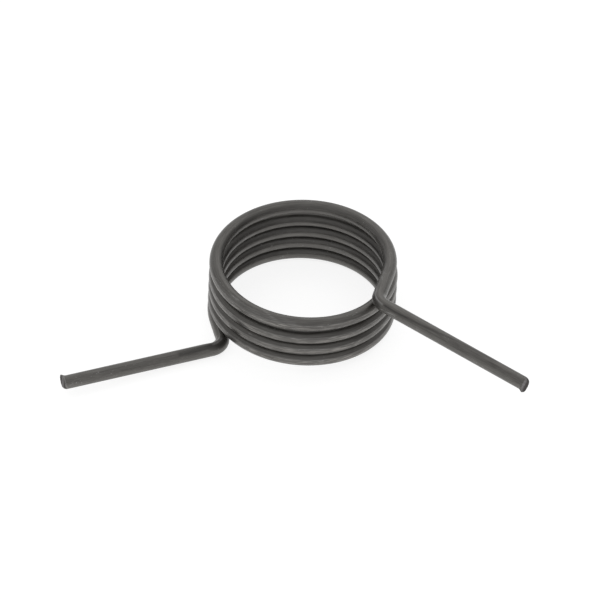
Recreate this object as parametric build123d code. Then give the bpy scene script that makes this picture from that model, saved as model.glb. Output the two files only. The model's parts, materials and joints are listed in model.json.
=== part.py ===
from build123d import *
from math import cos, pi, radians, sin, tan
import os

# A torsion spring: one length of round spring wire, wound left-handed into a close coil, with
# both its ends bent outwards square to the coil's axis as straight legs, and sheared off.
# Millimetres. Z is the coil's axis, and Z = 0 is the plane that the bottom leg lies on.

# Wire and coil
wire_diameter = 3.0
inside_diameter = 35.0
close_pitch = 3.08  # one turn to the next, which leaves the turns just clear of each other
parting = 0.50  # the coil opens by this much where its second turn passes under the top leg
parting_from, parting_to = 0.75, 1.25  # where it opens, in turns from the top end of the coil
draw_in = 0.35  # the top end of the coil is this much nearer to the axis than the rest
draw_in_turns = 0.25  # over this many turns

# Ends of the coil, as angles about Z, with the full turns between them
top_end_angle = -12.5
bottom_end_angle = 195.5
full_turns = 4

# Legs: the wire runs straight off the coil, bends outwards, and runs straight to its end
bend_radius = 3.5
top_leg_angle, top_run_off, top_leg_length = -37.5, 7.35, 38.3
bottom_leg_angle, bottom_run_off, bottom_leg_length = 203.5, 5.45, 34.6

# Sheared ends: the blade rounds over the edge it enters and drags a lip out of the far edge
shear_slope = 5.0  # the cut face leans back this far from square, in degrees
rollover_radius = 1.0
rollover_angle = 15.0  # the rollover meets the side of the wire at this angle
cut_depth = 0.05  # the cut leaves the lip this far short of the end of the blank
lip_height = 0.30
lip_length = 1.2
top_lip_angle, bottom_lip_angle = -135.0, -45.0  # about the leg, from straight up

# Each turn of the coil's path is drawn as this many pairs of arcs
steps_per_turn = 6

wire_radius = wire_diameter / 2
coil_radius = inside_diameter / 2 + wire_radius
coil_turns = full_turns + (bottom_end_angle - top_end_angle) / 360
blade_reach = 2 * wire_diameter


def ease(share):
    """Rises from 0 to 1 with level ends, and stays level outside them."""
    share = min(max(share, 0), 1)
    return share * share * (3 - 2 * share)


def coil_point(turn):
    """The wire's centre on the coil, this many turns down from the coil's top end."""
    angle = radians(top_end_angle + 360 * turn)
    radius = coil_radius - draw_in * (1 - ease(turn / draw_in_turns))
    opened = parting * ease((turn - parting_from) / (parting_to - parting_from))
    return Vector(radius * cos(angle), radius * sin(angle), -close_pitch * turn - opened)


def coil_direction(turn):
    """The way the wire runs there, towards the bottom of the coil."""
    nearby = 1e-5
    return (coil_point(turn + nearby) - coil_point(turn - nearby)).normalized()


def joined_arcs(start, start_direction, end, end_direction):
    """Two arcs that meet smoothly and leave and arrive in the given directions. Their meeting
    point is halfway between two points, one ahead of the start and one behind the end, that
    are as far from each other as their distances from the start and the end together."""
    chord = end - start
    square = 2 * (1 - start_direction.dot(end_direction))
    slope = chord.dot(start_direction + end_direction)
    reach = ((slope**2 + square * chord.dot(chord)) ** 0.5 - slope) / square
    meeting = (start + start_direction * reach + end - end_direction * reach) * 0.5
    first = Edge.make_tangent_arc(start, start_direction, meeting)
    return [first, Edge.make_tangent_arc(meeting, first % 1, end)]


def coil_arcs():
    """The coil's centre line, from its top end down, as arcs tangent to one another."""
    steps = round(coil_turns * steps_per_turn)
    turns = [coil_turns * step / steps for step in range(steps + 1)]
    arcs = []
    for turn, next_turn in zip(turns, turns[1:]):
        arcs += joined_arcs(
            coil_point(turn),
            coil_direction(turn),
            coil_point(next_turn),
            coil_direction(next_turn),
        )
    return arcs


def leg_edges(start, direction, run_off, leg_angle, length):
    """A leg's centre line, from the coil outwards: run-off, bend, straight."""
    outwards = Vector(cos(radians(leg_angle)), sin(radians(leg_angle)), 0)
    bend_start = start + direction * run_off
    to_centre = (outwards - direction * direction.dot(outwards)).normalized() * bend_radius
    turned = radians(direction.get_angle(outwards))
    bend_end = (
        bend_start
        + to_centre * (1 - cos(turned))
        + direction * (bend_radius * sin(turned))
    )
    return [
        Edge.make_line(start, bend_start),
        Edge.make_tangent_arc(bend_start, direction, bend_end),
        Edge.make_line(bend_end, bend_end + outwards * length),
    ]


def sheared(wire, leg, lip_angle):
    """The wire with this end sheared: a lip grows out of one side of it, and the cut face leans
    back from there and rounds over into the other side."""
    tip, outwards = leg @ 1, leg % 1
    turned = radians(lip_angle)
    to_lip = Vector(0, 0, cos(turned)) + Vector(0, 0, 1).cross(outwards) * sin(turned)

    # The lip is a stub of the same wire that leans out of it, towards the lip
    lip_foot = Plane(origin=tip - outwards * lip_length, x_dir=to_lip, z_dir=outwards)
    lip_way = outwards * lip_length + to_lip * lip_height
    wire += extrude(lip_foot * Circle(wire_radius), lip_way.length, dir=lip_way)

    # The waste beyond the cut, seen from the side: X towards the lip, Y along the leg. The
    # rollover's centre is one radius below the cut face, and its far end just misses the wire.
    side = Plane(origin=tip, x_dir=to_lip, z_dir=to_lip.cross(outwards))
    centre_x = rollover_radius * cos(radians(rollover_angle)) - wire_radius
    fall = (wire_radius + lip_height - centre_x) * tan(radians(shear_slope))
    centre_y = -cut_depth - fall - rollover_radius / cos(radians(shear_slope))
    centre = (centre_x, centre_y)
    rollover = CenterArc(centre, rollover_radius, 90 + shear_slope, 90 - shear_slope)
    face = PolarLine(rollover @ 0, blade_reach, shear_slope)
    beyond = Polyline(
        face @ 1,
        (blade_reach, blade_reach),
        (-blade_reach, blade_reach),
        (-blade_reach, centre_y),
        rollover @ 1,
    )
    waste = make_face(rollover + face + beyond)
    return wire - extrude(side * waste, blade_reach, both=True)


top_leg = leg_edges(
    coil_point(0), -coil_direction(0), top_run_off, top_leg_angle, top_leg_length
)
bottom_leg = leg_edges(
    coil_point(coil_turns),
    coil_direction(coil_turns),
    bottom_run_off,
    bottom_leg_angle,
    bottom_leg_length,
)
centre_line = Wire(top_leg + coil_arcs() + bottom_leg)
lift = wire_radius - (bottom_leg[-1] @ 1).Z
first_edge = top_leg[-1]
section = Plane(origin=first_edge @ 1, z_dir=first_edge % 1) * Circle(wire_radius)
spring = sweep(section, path=centre_line)
spring = sheared(spring, top_leg[-1], top_lip_angle)
spring = sheared(spring, bottom_leg[-1], bottom_lip_angle)
spring = Pos(0, 0, lift) * spring

os.makedirs("parts", exist_ok=True)
export_step(spring, "parts/torsion_spring.step")
print("wire length", round(centre_line.length, 1))
print("volume", round(spring.volume, 1), "of", round(centre_line.length * pi * wire_radius**2, 1))
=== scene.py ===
import json
import bpy
import numpy as np
from mathutils import Matrix, Vector


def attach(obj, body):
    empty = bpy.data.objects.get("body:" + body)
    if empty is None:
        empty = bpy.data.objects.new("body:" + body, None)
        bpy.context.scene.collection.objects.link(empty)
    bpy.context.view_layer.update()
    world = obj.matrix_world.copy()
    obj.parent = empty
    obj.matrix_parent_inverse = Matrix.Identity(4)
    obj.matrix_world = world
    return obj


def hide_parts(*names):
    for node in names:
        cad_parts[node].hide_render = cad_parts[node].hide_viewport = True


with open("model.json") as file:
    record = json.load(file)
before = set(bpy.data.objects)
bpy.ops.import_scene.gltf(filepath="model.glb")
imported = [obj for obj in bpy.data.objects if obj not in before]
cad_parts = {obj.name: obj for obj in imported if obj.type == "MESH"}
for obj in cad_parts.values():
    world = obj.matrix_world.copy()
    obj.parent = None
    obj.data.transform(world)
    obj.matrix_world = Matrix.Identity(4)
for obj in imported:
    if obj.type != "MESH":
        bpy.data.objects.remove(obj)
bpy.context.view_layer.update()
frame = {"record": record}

# ---------------------------------------------------------------------------------------------
# Spring wire
# One length of oil-tempered spring steel wire, wound left-handed on an arbor into a close coil.
# Its two ends are bent outwards round a pin as straight legs, and sheared off.
# ---------------------------------------------------------------------------------------------
MILLIMETRE = 0.001  # lengths here are in millimetres, and the mesh is written in metres
mounts = {mount["name"]: mount for mount in frame["record"]["mounts"]}
wire_radius = mounts["top_leg"]["dims"]["r_mm"]
draw_in, draw_in_turns = 0.35, 0.25  # the coil's top end lies this much nearer to the axis
coil_radius = mounts["coil_bore"]["dims"]["r_mm"] + draw_in + wire_radius
close_pitch = 3.08
parting, parting_from, parting_to = 0.50, 0.75, 1.25  # the gap under the top leg, in turns
top_end_angle, bottom_end_angle, full_turns = -12.5, 195.5, 4
coil_turns = full_turns + (bottom_end_angle - top_end_angle) / 360
bend_radius = 3.5
top_run_off, top_leg_angle, top_leg_length = 7.35, -37.5, 38.3
bottom_run_off, bottom_leg_angle, bottom_leg_length = 5.45, 203.5, 34.6
stations_per_turn, around = 150, 80  # rings along each turn, and points on each ring
leg_end_reach = 3.0  # the rings lie closer together over this much of each end of a leg


def ease(share):
    """Rises from 0 to 1 as 3 s^2 - 2 s^3, and stays level outside."""
    share = np.clip(share, 0, 1)
    return share * share * (3 - 2 * share)


def coil_point(turn):
    """A left-hand helix: the coil's radius less the draw-in, and a height that falls by the
    pitch each turn and by the parting as well where the coil opens."""
    angle = np.radians(top_end_angle + 360 * turn)
    radius = coil_radius - draw_in * (1 - ease(turn / draw_in_turns))
    opened = parting * ease((turn - parting_from) / (parting_to - parting_from))
    height = -close_pitch * turn - opened
    return np.stack([radius * np.cos(angle), radius * np.sin(angle), height], axis=-1)


def coil_direction(turn):
    """The helix's unit tangent, towards the bottom, from its slope over a short step."""
    nearby = 1e-5
    step = coil_point(turn + nearby) - coil_point(turn - nearby)
    return step / np.linalg.norm(step, axis=-1, keepdims=True)


def stations(*stretches):
    """Distances along a leg, from (end of stretch, spacing) pairs, each stretch evenly spaced."""
    found, start = [np.zeros(1)], 0.0
    for end, spacing in stretches:
        found.append(np.linspace(start, end, int(np.ceil((end - start) / spacing)) + 1)[1:])
        start = end
    return np.concatenate(found)


def leg_path(start, direction, run_off, leg_angle, length):
    """A leg from the coil outwards: straight for the run-off, round the bend as r sin and
    r (1 - cos) of the angle turned, straight to its end. Returns distances, places and ways."""
    angle = np.radians(leg_angle)
    outwards = np.array([np.cos(angle), np.sin(angle), 0.0])
    inward = outwards - direction * (direction @ outwards)
    inward /= np.linalg.norm(inward)
    turned = np.arccos(direction @ outwards)
    bend_end = run_off + bend_radius * turned
    tip = bend_end + length
    along = stations(
        (run_off, 0.3),
        (bend_end, 0.12),
        (bend_end + leg_end_reach, 0.25),
        (tip - leg_end_reach, 0.6),
        (tip, 0.06),
    )
    bent = np.clip((along - run_off) / bend_radius, 0, turned)[:, None]
    ahead = np.clip(along, 0, run_off)[:, None] + bend_radius * np.sin(bent)
    beyond = np.clip(along - bend_end, 0, None)[:, None]
    places = start + direction * ahead + inward * bend_radius * (1 - np.cos(bent))
    places = places + outwards * beyond
    directions = direction * np.cos(bent) + inward * np.sin(bent)
    return along, places, directions


coil_ends = np.array([0.0, coil_turns])
top_start, bottom_start = coil_point(coil_ends)
top_way, bottom_way = coil_direction(coil_ends)
top_leg = leg_path(top_start, -top_way, top_run_off, top_leg_angle, top_leg_length)
bottom_leg = leg_path(
    bottom_start, bottom_way, bottom_run_off, bottom_leg_angle, bottom_leg_length
)

# The whole wire, from the top leg's tip down to the bottom leg's
coil_stations = np.linspace(0, coil_turns, int(coil_turns * stations_per_turn) + 1)[1:-1]
places = np.concatenate([top_leg[1][::-1], coil_point(coil_stations), bottom_leg[1]])
ways = np.concatenate([-top_leg[2][::-1], coil_direction(coil_stations), bottom_leg[2]])
places[:, 2] += wire_radius - bottom_leg[1][-1, 2]
along = np.concatenate([[0.0], np.cumsum(np.linalg.norm(np.diff(places, axis=0), axis=1))])
length = along[-1]

# Distances from the coil's two ends: above 0 out along the leg, and below 0 round the coil
top_reach, bottom_reach = top_leg[0][-1], bottom_leg[0][-1]
from_top_end, from_bottom_end = top_reach - along, along - (length - bottom_reach)
from_bottom_tip = length - along

# Round the wire: 0 degrees is level and outwards from the coil, and 90 is up
bearing = np.arange(around) * 2 * np.pi / around
up = np.array([0.0, 0.0, 1.0]) - ways * ways[:, 2:]
up /= np.linalg.norm(up, axis=1, keepdims=True)
side = np.cross(ways, up)

# The jaw that pressed each bend round its pin left a flat along it, with a low bead of steel
# pushed up on both sides of the flat
flat_ease, bead_height, bead_width, least_cosine = 2.0, 0.015, np.radians(6), 0.2


def off_bearing(facing):
    """How far each point of a ring lies from one facing, as an angle from 0 to pi."""
    return np.abs((bearing - facing + np.pi) % (2 * np.pi) - np.pi)


def pressed(distance, start, end, facing, depth):
    """The wall's distance from the wire's centre with one flat on it: a chord, (radius - depth)
    / cos(angle from the flat's middle), and a bell-shaped bead along each of its edges. On the
    far side the cosine is held above 0, which puts the chord outside the wire."""
    share = ease((distance - start) / flat_ease) * ease((end - distance) / flat_ease)
    sunk = (depth * share)[:, None]
    off_middle = off_bearing(np.radians(facing))
    chord = (wire_radius - sunk) / np.maximum(np.cos(off_middle), least_cosine)
    off_edge = (off_middle - np.arccos(1 - sunk / wire_radius)) / bead_width
    bead = bead_height * share[:, None] * np.exp(-(off_edge**2))
    return np.minimum(wire_radius, chord) + bead


radius = pressed(from_top_end, start=5.6, end=14.0, facing=155, depth=0.12)
radius += pressed(from_bottom_end, start=5.8, end=12.2, facing=50, depth=0.10) - wire_radius
ring_x, ring_y = radius * np.cos(bearing), radius * np.sin(bearing)

# The sheared ends: the blade rounds one side over, and drags a lip out of the other
rollover_radius, rollover_angle = 1.0, np.radians(15.0)
lip_height, lip_length = 0.30, 1.2
notch_depth, notch_circle = 0.18, 3.0  # the lip is notched by the waves round this circle
skew_length = 3.0  # the wall's rings lean over to meet the cut within this much of its end
torn_steepness, rim_share = 0.014, 0.5  # the torn grain, and how much of it reaches the rim
face_steps = 14  # rings from a face's rim in to its middle
end_rings = 60  # the rings at each end that the shearing shapes


def lip_side(way, lip_angle):
    """The unit vector across a leg towards its lip, turned about the leg from straight up."""
    angle = np.radians(lip_angle)
    upwards = np.array([0.0, 0.0, 1.0])
    return upwards * np.cos(angle) + np.cross(upwards, way) * np.sin(angle)


def cut_height(towards_lip, slope, depth):
    """The cut's place along the leg from the blank's end, which is below 0 all over: a plane
    that leans back from the lip, then the arc of the rollover, its centre + sqrt(r^2 - x^2)."""
    corner = rollover_radius * np.cos(rollover_angle) - wire_radius
    lip_edge = wire_radius + lip_height
    plane = -depth - (lip_edge - towards_lip) * np.tan(slope)
    fall = (lip_edge - corner) * np.tan(slope)
    centre = -depth - fall - rollover_radius / np.cos(slope)
    beside = np.clip(towards_lip - corner, -rollover_radius, rollover_radius)
    arc = centre + np.sqrt(rollover_radius**2 - beside**2)
    return np.where(towards_lip < corner - rollover_radius * np.sin(slope), arc, plane)


def torn(across, upward, seed):
    """The broken part of a sheared face: a sum of waves in random directions, each as high as
    torn_steepness times its wavelength."""
    waves = np.random.default_rng(seed)
    total = np.zeros_like(across)
    for wavelength in (1.1, 0.7, 0.45, 0.3):
        angle, phase = waves.uniform(0, 2 * np.pi, 2)
        place = (across * np.cos(angle) + upward * np.sin(angle)) * 2 * np.pi / wavelength
        total += torn_steepness * wavelength * np.sin(place + phase)
    return total


def sheared_end(rows, sign, from_tip, lip_angle, slope, depth, seed):
    """Carries these rings of the wall, of which the last is at the tip, out to the cut, with the
    lip swelling towards it as ease(1 - distance / lip length)^1.5, and round the wire as
    cos(angle from the lip)^1.6. Closes it with a face of rings that shrink to a point. Returns
    the wall, the face and the face's places across the wire."""
    tip = rows[-1]
    outwards = sign * ways[tip]
    to_lip = lip_side(outwards, lip_angle)
    lip_x, lip_y = side[tip] @ to_lip, up[tip] @ to_lip
    way_x, way_y = np.cos(bearing), np.sin(bearing)
    share_to_lip = way_x * lip_x + way_y * lip_y
    slope = np.radians(slope)

    swelling = ease(1 - from_tip[rows] / lip_length)[:, None] ** 1.5
    notches = torn(way_x * notch_circle, way_y * notch_circle, seed + 1) / torn_steepness
    lip = lip_height * swelling * np.clip(share_to_lip, 0, 1) ** 1.6
    full = radius[rows] + lip * (1 + notch_depth * notches)
    wall_x, wall_y = full * way_x, full * way_y
    rim_height = cut_height(full[-1] * share_to_lip, slope, depth)
    rim_height = rim_height + torn(wall_x[-1], wall_y[-1], seed) * rim_share
    pulled = (1 - np.clip(from_tip[rows] / skew_length, 0, 1))[:, None] * rim_height
    wall = (
        places[rows, None, :]
        + wall_x[..., None] * side[rows, None, :]
        + wall_y[..., None] * up[rows, None, :]
        + pulled[..., None] * outwards
    )

    shrink = np.linspace(1, 0, face_steps + 1)[1:, None]
    face_x, face_y = shrink * wall_x[-1], shrink * wall_y[-1]
    roughness = rim_share + (1 - rim_share) * (1 - shrink**4)
    height = cut_height(face_x * lip_x + face_y * lip_y, slope, depth)
    height = height + torn(face_x, face_y, seed) * roughness
    face = (
        places[tip]
        + face_x[..., None] * side[tip]
        + face_y[..., None] * up[tip]
        + height[..., None] * outwards
    )
    return wall, face, (face_x, face_y)


rows = np.arange(len(along))
top_wall, top_face, top_across = sheared_end(
    rows[:end_rings][::-1], -1, along, lip_angle=-135.0, slope=5.0, depth=0.1, seed=11
)
bottom_wall, bottom_face, bottom_across = sheared_end(
    rows[-end_rings:], 1, from_bottom_tip, lip_angle=-45.0, slope=1.5, depth=0.3, seed=23
)
plain = slice(end_rings, -end_rings)
plain_wall = (
    places[plain, None, :]
    + ring_x[plain, :, None] * side[plain, None, :]
    + ring_y[plain, :, None] * up[plain, None, :]
)


def on_surface(top, wall, bottom):
    """One value for each point of the surface: the top face's rings from its middle out, the
    wall's, the bottom face's from its rim in, and last the two faces' middles."""
    rings = np.concatenate([top[::-1][1:], wall, bottom[:-1]])
    middles = np.stack([top[-1, 0], bottom[-1, 0]])
    return np.concatenate([rings.reshape(-1, *rings.shape[2:]), middles])


points = on_surface(
    top_face, np.concatenate([top_wall[::-1], plain_wall, bottom_wall]), bottom_face
)

# The drawn coordinate is a point's place in the wire as it was before winding: across, across,
# along. Draw lines follow it round every bend. The cut attribute is 1 on the two sheared faces,
# and the wound attribute 1 on the coil.
wound_ease = 3.0
ring_shape, face_shape = ring_x.shape, top_across[0].shape


def drawn_face(across, at):
    """The drawn coordinate on a face at one place along the wire."""
    return np.stack([across[0], across[1], np.full(face_shape, at)], axis=-1)


along_rings = np.broadcast_to(along[:, None], ring_shape)
drawn = on_surface(
    drawn_face(top_across, 0.0),
    np.stack([ring_x, ring_y, along_rings], axis=-1),
    drawn_face(bottom_across, length),
)
cut = on_surface(np.ones(face_shape), np.zeros(ring_shape), np.ones(face_shape))
on_coil = ease(-from_top_end / wound_ease) * ease(-from_bottom_end / wound_ease)
wound = on_surface(
    np.zeros(face_shape), np.broadcast_to(on_coil[:, None], ring_shape), np.zeros(face_shape)
)


def mark(distance, route, half_width, strength):
    """A stripe on the wall along a route of (distance along the wire, angle round it), with ends
    that ease in over at most 0.8 mm and a profile exp(-x^4) across."""
    distances, facings = zip(*route)
    start, end = distances[0], distances[-1]
    soft = min(0.8, (end - start) / 4)
    lengthwise = ease((distance - start) / soft) * ease((end - distance) / soft)
    facing = np.radians(np.interp(distance, distances, facings))[:, None]
    across = off_bearing(facing) / np.radians(half_width)
    return strength * lengthwise[:, None] * np.exp(-(across**4))


# Dark: painted shade along the upper sides of the turns and on the two bends, three bruises, and a
# dark line down the top leg
dark_marks_and_painted_shade = np.maximum.reduce(
    [
        # painted shade: the upper sides of the lower turns, outside and inside, and the top turn's
        # inside, darker where the turn above shades them
        mark(from_top_end, [(-540, 41), (-125, 41)], 16, 0.3),
        mark(from_top_end, [(-540, 139), (-125, 139)], 26, 0.42),
        mark(from_top_end, [(-100, 142), (-50, 140), (-2, 130)], 15, 0.3),
        # a bruise on each of three turns, one above another
        mark(from_top_end, [(-202.0, -18), (-198.8, -18)], 24, 0.9),
        mark(from_top_end, [(-320.0, -22), (-316.4, -22)], 26, 0.6),
        mark(from_top_end, [(-438.0, 5), (-434.6, 5)], 26, 0.5),
        # painted shade on the outside of the top bend, and a dark line, set a little lower, that
        # runs from it down the leg
        mark(from_top_end, [(4.5, 160), (7.6, 146), (9.5, 155), (11.5, 178)], 17, 0.6),
        mark(from_top_end, [(11.2, 131), (15, 136), (21, 128), (31, 95), (42, 72)], 10, 0.5),
        mark(from_top_end, [(11.2, 131), (15, 136), (19, 130)], 8, 0.8),
        # painted shade on the upper side of the bottom bend, where it faces the dark coil
        mark(from_bottom_end, [(1, 128), (9, 132), (12, 108), (19, 115)], 26, 0.6),
    ]
)

# Light: painted highlights along the coil's band, the top bend's ridge and the bottom bend's inner
# corner, and scuffs and a rim where the scale has worn through to the steel
wear_and_painted_highlights = np.maximum.reduce(
    [
        # a painted highlight along the upper edge of the bright band that runs round the outside
        # of the coil
        mark(from_top_end, [(-540, 24), (-3, 24)], 5, 0.35),
        # the front of the top turn, rubbed a little all over, and two scuffs on it
        mark(from_top_end, [(-93, 40), (-76, 40)], 26, 0.2),
        mark(from_top_end, [(-89.4, 26), (-88.2, 42), (-86.6, 68), (-84.4, 104)], 4, 0.9),
        mark(from_top_end, [(-79.0, 61), (-76.6, 61)], 5, 0.8),
        # painted highlights: the ridge along the top bend, and two glints where it meets the leg
        mark(from_top_end, [(1.5, 142), (4, 150), (7.5, 119), (10.8, 131)], 6, 0.9),
        mark(from_top_end, [(9.8, 128), (11.6, 134)], 7, 0.9),
        mark(from_top_end, [(12.5, 176), (15.5, 160)], 8, 0.5),
        # a painted highlight in the inner corner of the bottom bend, and the rim of the bottom
        # leg's end
        mark(from_bottom_end, [(7.0, 86), (10.8, 94)], 13, 0.8),
        mark(from_bottom_tip, [(0.03, 90), (0.45, 90)], 360, 0.6),
    ]
)


def burnished_band(across, facing, middle, half_width):
    """exp(-x^4) across a sheared face: the band the blade burnished before the steel broke."""
    angle = np.radians(facing)
    towards = (across[0] * np.cos(angle) + across[1] * np.sin(angle)) / wire_radius
    return np.exp(-(((towards - middle) / half_width) ** 4))


light = on_surface(
    burnished_band(top_across, facing=130, middle=0.6, half_width=0.55),
    wear_and_painted_highlights,
    burnished_band(bottom_across, facing=180, middle=0.0, half_width=0.4),
)
dark = on_surface(np.zeros(face_shape), dark_marks_and_painted_shade, np.zeros(face_shape))

ring_count = (len(points) - 2) // around
index = np.arange(ring_count * around).reshape(ring_count, around)
after = np.roll(index, -1, axis=1)
quads = np.stack([index[:-1], index[1:], after[1:], after[:-1]], axis=-1).reshape(-1, 4)
top_middle, bottom_middle = ring_count * around, ring_count * around + 1
top_fan = np.stack([np.full(around, top_middle), index[0], after[0]], axis=-1)
bottom_fan = np.stack([index[-1], np.full(around, bottom_middle), after[-1]], axis=-1)

wire_mesh = bpy.data.meshes.new("torsion_spring_wire")
wire_mesh.from_pydata(
    points * MILLIMETRE, [], quads.tolist() + top_fan.tolist() + bottom_fan.tolist()
)
wire_mesh.polygons.foreach_set("use_smooth", np.ones(len(wire_mesh.polygons), bool))
for name, kind, field, values in (
    ("drawn", "FLOAT_VECTOR", "vector", drawn),
    ("cut", "FLOAT", "value", cut),
    ("wound", "FLOAT", "value", wound),
    ("light", "FLOAT", "value", light),
    ("dark", "FLOAT", "value", dark),
):
    attribute = wire_mesh.attributes.new(name, kind, "POINT")
    attribute.data.foreach_set(field, np.ascontiguousarray(values, np.float32).ravel())
wire_mesh.update()
wire = bpy.data.objects.new("torsion_spring_wire", wire_mesh)
bpy.context.scene.collection.objects.link(wire)

# Oil-tempered spring steel: a dark grey-brown scale with a satin sheen, drawn into fine lines
# along the wire, with a painted highlight round the outside of the coil, and bare torn steel on
# the sheared faces
scale_dark, scale_light = (0.092, 0.087, 0.081, 1), (0.216, 0.208, 0.195, 1)
# the painted sheen's tone, then bare steel for the wear and the painted highlights
sheen_tone, bare_steel_and_highlight = (0.325, 0.312, 0.292, 1), (0.34, 0.335, 0.33, 1)
# the dark marks' tone, for the bruises and the painted shade alike
bruise_and_shade_tone = (0.05, 0.047, 0.045, 1)
torn_steel, burnished_steel = (0.11, 0.103, 0.1, 1), (0.3, 0.29, 0.29, 1)
full_tint, torn_tint = (1, 1, 1, 1), (0.45, 0.45, 0.45, 1)
steel = bpy.data.materials.new("spring_steel")
steel.use_nodes = True
tree = steel.node_tree
shader = tree.nodes["Principled BSDF"]


def add(kind, inputs=None, **settings):
    """Adds a node to the tree in hand, sets its properties, and fills its inputs with values or
    with other nodes' outputs."""
    made = tree.nodes.new(kind)
    for key, value in settings.items():
        setattr(made, key, value)
    for key, value in (inputs or {}).items():
        if isinstance(value, bpy.types.NodeSocket):
            tree.links.new(value, made.inputs[key])
        else:
            made.inputs[key].default_value = value
    return made


def reading(name):
    """One of the mesh's own attributes."""
    return add("ShaderNodeAttribute", attribute_name=name).outputs


def streaks(across, lengthwise, detail):
    """Noise stretched along the wire: periods in millimetres across and along it."""
    spread = add("ShaderNodeMapping", {"Vector": drawn_at, "Scale": (1, 1, across / lengthwise)})
    return add(
        "ShaderNodeTexNoise",
        {"Vector": spread.outputs[0], "Scale": 1 / across, "Detail": detail},
    ).outputs["Fac"]


def ramp(value, low, high, out_low, out_high):
    """Carries one range of a value on to another, clamped."""
    return add(
        "ShaderNodeMapRange",
        {"Value": value, "From Min": low, "From Max": high, "To Min": out_low, "To Max": out_high},
    ).outputs[0]


def work_out(operation, *values):
    """One sum of two or three values."""
    return add("ShaderNodeMath", dict(enumerate(values)), operation=operation).outputs[0]


def laid_over(below, above, share):
    """One colour laid over another, by this share."""
    return add("ShaderNodeMix", {0: share, 6: below, 7: above}, data_type="RGBA").outputs[2]


drawn_at = reading("drawn")["Vector"]
cut_here, wound_here = reading("cut")["Fac"], reading("wound")["Fac"]
light_here, dark_here = reading("light")["Fac"], reading("dark")["Fac"]
fine_lines = streaks(0.24, 7.0, 3)
hairlines = streaks(0.2, 2.4, 2)
broad_lines = streaks(0.9, 45.0, 2)
patches = streaks(2.4, 6.0, 4)
specks = streaks(0.3, 0.6, 1)
wandering = streaks(1.3, 9.0, 2)

# The scale, between its dark and light tones
shade = work_out("ADD", ramp(fine_lines, 0.3, 0.7, 0, 0.4), ramp(broad_lines, 0.3, 0.7, 0, 0.35))
shade = work_out("ADD", shade, ramp(hairlines, 0.35, 0.65, -0.15, 0.15))
shade = work_out("ADD", shade, ramp(patches, 0.3, 0.7, 0, 0.25))
colour = laid_over(scale_dark, scale_light, shade)


def outer_band(facing, half_width):
    """1 on a band along the coil, centred this far round the wire, in degrees: where the cosine
    of the angle from its middle, roughened by the fine lines, is above that of the half width."""
    raggedness, softness = 0.25, 0.04
    way = np.radians(facing)
    towards = (np.cos(way) / wire_radius, np.sin(way) / wire_radius, 0)
    facing_it = add("ShaderNodeVectorMath", {0: drawn_at, 1: towards}, operation="DOT_PRODUCT")
    rough = work_out("MULTIPLY_ADD", fine_lines, raggedness, facing_it.outputs["Value"])
    edge = np.cos(np.radians(half_width)) + raggedness / 2
    band = ramp(rough, edge - softness, edge + softness, 0, 1)
    return work_out("MULTIPLY", band, wound_here)


# A painted highlight: the band round the coil's outside that mirrors the bright floor is painted
# brighter, streaked by the hairlines
painted_sheen = work_out("MULTIPLY", outer_band(-12, 38), ramp(hairlines, 0.51, 0.65, 0.0, 0.8))
colour = laid_over(colour, sheen_tone, painted_sheen)

# Specks rubbed through the scale, and scratches where one noise crosses a level, in patches
scratch = work_out("MULTIPLY", work_out("COMPARE", wandering, 0.53, 0.006), 0.4)
rubbed = work_out("MAXIMUM", ramp(specks, 0.68, 0.74, 0, 0.9), scratch)
rubbed = work_out("MULTIPLY", rubbed, ramp(patches, 0.52, 0.6, 0, 1))
colour = laid_over(colour, bare_steel_and_highlight, rubbed)

# The dark and the light marks, which carry painted shade and painted highlights besides bruises
# and wear, and the torn steel of the sheared faces
colour = laid_over(colour, bruise_and_shade_tone, dark_here)
worn_and_highlit = work_out("MULTIPLY", light_here, ramp(hairlines, 0.3, 0.6, 0.5, 1))
colour = laid_over(colour, bare_steel_and_highlight, worn_and_highlit)
torn_grain = add(
    "ShaderNodeTexNoise", {"Vector": drawn_at, "Scale": 2.2, "Detail": 4.0}
).outputs["Fac"]
burnished = work_out("MULTIPLY", light_here, ramp(torn_grain, 0.35, 0.6, 0.5, 1))
face_colour = laid_over(torn_steel, burnished_steel, burnished)
tree.links.new(laid_over(colour, face_colour, cut_here), shader.inputs["Base Color"])
shader.inputs["Metallic"].default_value = 1.0

# A trace of quenching oil lies on the scale, and the broken steel is too rough to gleam
tree.links.new(ramp(cut_here, 0, 1, 0.5, 0), shader.inputs["Coat Weight"])
shader.inputs["Coat Roughness"].default_value = 0.2
tree.links.new(laid_over(full_tint, torn_tint, cut_here), shader.inputs["Specular Tint"])
satin = ramp(work_out("ADD", fine_lines, patches), 0.7, 1.3, 0.46, 0.58)
torn_roughness = 0.55
finish = add("ShaderNodeMix", {0: cut_here, 2: satin, 3: torn_roughness}, data_type="FLOAT")
tree.links.new(finish.outputs[0], shader.inputs["Roughness"])

# Draw lines stand up, the dark marks, painted shade among them, lie lower, and the torn faces are
# grained
relief = work_out("MULTIPLY_ADD", fine_lines, 0.8, broad_lines)
relief = work_out("SUBTRACT", relief, work_out("MULTIPLY", dark_here, 0.8))
face_grain = work_out("MULTIPLY", torn_grain, work_out("MULTIPLY", cut_here, 2.0))
relief = work_out("ADD", relief, face_grain)
bump = add("ShaderNodeBump", {"Height": relief, "Strength": 0.35, "Distance": 0.00006})
tree.links.new(bump.outputs[0], shader.inputs["Normal"])
wire_mesh.materials.append(steel)

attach(wire, "root")
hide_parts("torsion_spring")

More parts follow.
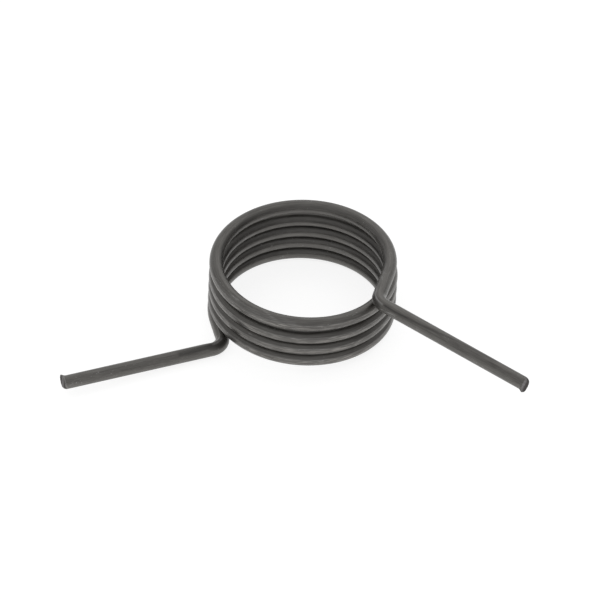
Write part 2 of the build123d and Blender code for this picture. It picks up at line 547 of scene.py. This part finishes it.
# ---------------------------------------------------------------------------------------------
# Floor
# A flat matt white board. The spring comes to rest on three points, two on the coil's lowest turn
# and one under the bottom bend, so the floor leans a little against the coil's axis.
# ---------------------------------------------------------------------------------------------
floor_lean, floor_lean_angle = np.radians(2.93), np.radians(175.0)
floor_radius, floor_sides = 0.6, 96
floor_up = Vector(
    (
        np.sin(floor_lean) * np.cos(floor_lean_angle),
        np.sin(floor_lean) * np.sin(floor_lean_angle),
        np.cos(floor_lean),
    )
)
floor_place = floor_up * (np.min(points @ np.array(floor_up)) * MILLIMETRE)
level_x = floor_up.orthogonal().normalized()
level_y = floor_up.cross(level_x)
rim = np.arange(floor_sides) * 2 * np.pi / floor_sides
floor_points = np.array(floor_place) + floor_radius * (
    np.cos(rim)[:, None] * np.array(level_x) + np.sin(rim)[:, None] * np.array(level_y)
)
floor_mesh = bpy.data.meshes.new("floor")
floor_mesh.from_pydata(floor_points, [], [list(range(floor_sides))])
floor = bpy.data.objects.new("floor", floor_mesh)
bpy.context.scene.collection.objects.link(floor)

# The floor shows as white to the eye and in the metal, and still takes the spring's shadow
floor_tone, floor_glow, mirrored_glow = 0.45, 0.8, 0.68
white = bpy.data.materials.new("white_floor")
white.use_nodes = True
tree = white.node_tree
matt = tree.nodes["Principled BSDF"]
matt.inputs["Base Color"].default_value = (floor_tone, floor_tone, floor_tone, 1)
matt.inputs["Roughness"].default_value = 1.0
matt.inputs["Specular IOR Level"].default_value = 0.0
ray = add("ShaderNodeLightPath").outputs
mirrored = work_out("MAXIMUM", ray["Is Glossy Ray"], ray["Is Transmission Ray"])
seen = work_out("MULTIPLY", ray["Is Camera Ray"], floor_glow)
glow_strength = work_out("MULTIPLY_ADD", mirrored, mirrored_glow, seen)
glow = add("ShaderNodeEmission", {"Strength": glow_strength})
both = add("ShaderNodeAddShader", {0: matt.outputs[0], 1: glow.outputs[0]})
tree.links.new(both.outputs[0], tree.nodes["Material Output"].inputs["Surface"])
floor_mesh.materials.append(white)

# ---------------------------------------------------------------------------------------------
# Studio light
# A room of soft light, dimmer to both sides and dimmest to the right. Near the floor it is
# brighter behind the spring, and higher up in front of it. A weak soft box hangs above and behind.
# ---------------------------------------------------------------------------------------------
box_data = bpy.data.lights.new("soft_box", "AREA")
box_data.shape = "SQUARE"
box_data.size = 0.7
box_data.energy = 0.5
box = bpy.data.objects.new("soft_box", box_data)
box.location = (0.2, 0.45, 0.6)
box.rotation_mode = "QUATERNION"
box.rotation_quaternion = (-box.location).to_track_quat("-Z", "Y")
bpy.context.scene.collection.objects.link(box)

# The room's strength: room_level + backward (back_gain - high_back_loss upward)
# - rightward (right_loss + side_loss rightward)
room_level, back_gain, high_back_loss = 0.63, 0.12, 0.26
right_loss, side_loss = 0.105, 0.26
world = bpy.data.worlds.new("room")
world.use_nodes = True
tree = world.node_tree
room = tree.nodes["Background"]
looked_at = add("ShaderNodeTexCoord").outputs["Generated"]
rightward, backward, upward = add("ShaderNodeSeparateXYZ", {0: looked_at}).outputs
falling = work_out("MULTIPLY_ADD", upward, -high_back_loss, back_gain)
leaning = work_out("MULTIPLY_ADD", rightward, side_loss, right_loss)
to_sides = work_out("MULTIPLY", rightward, leaning)
soft = work_out("SUBTRACT", work_out("MULTIPLY_ADD", backward, falling, room_level), to_sides)
tree.links.new(soft, room.inputs["Strength"])
room.inputs["Color"].default_value = (1, 1, 1, 1)
bpy.context.scene.world = world
bpy.context.scene.view_settings.view_transform = "Standard"

# ---------------------------------------------------------------------------------------------
# Camera
# A long lens from the front, 40 degrees above the coil's square plane. It stands level on the
# floor, so it is rolled a little against the coil. Its aim and distance are in millimetres.
# ---------------------------------------------------------------------------------------------
elevation, roll = np.radians(40.16), np.radians(3.056)
distance, sensor_width = 1140.0, 36.0
pixels_per_mm, picture_width = 4.596, 600
aim_height, aim_right, aim_up = 9.019, -0.579, -3.384  # the picture's centre, against the coil
forward = Vector((0, np.cos(elevation), -np.sin(elevation)))
level_right = Vector((1, 0, 0))
level_up = level_right.cross(forward)
right = level_right * np.cos(roll) + level_up * np.sin(roll)
upright = level_up * np.cos(roll) - level_right * np.sin(roll)
aim = Vector((0, 0, aim_height)) + right * aim_right + upright * aim_up
camera_data = bpy.data.cameras.new("camera")
camera_data.sensor_width = sensor_width
camera_data.lens = sensor_width * distance * pixels_per_mm / picture_width
camera_data.clip_start, camera_data.clip_end = 0.01, 10.0
camera = bpy.data.objects.new("camera", camera_data)
facing = Matrix((right, upright, -forward)).transposed().to_4x4()
camera.matrix_world = Matrix.Translation((aim - forward * distance) * MILLIMETRE) @ facing
bpy.context.scene.collection.objects.link(camera)
bpy.context.scene.camera = camera
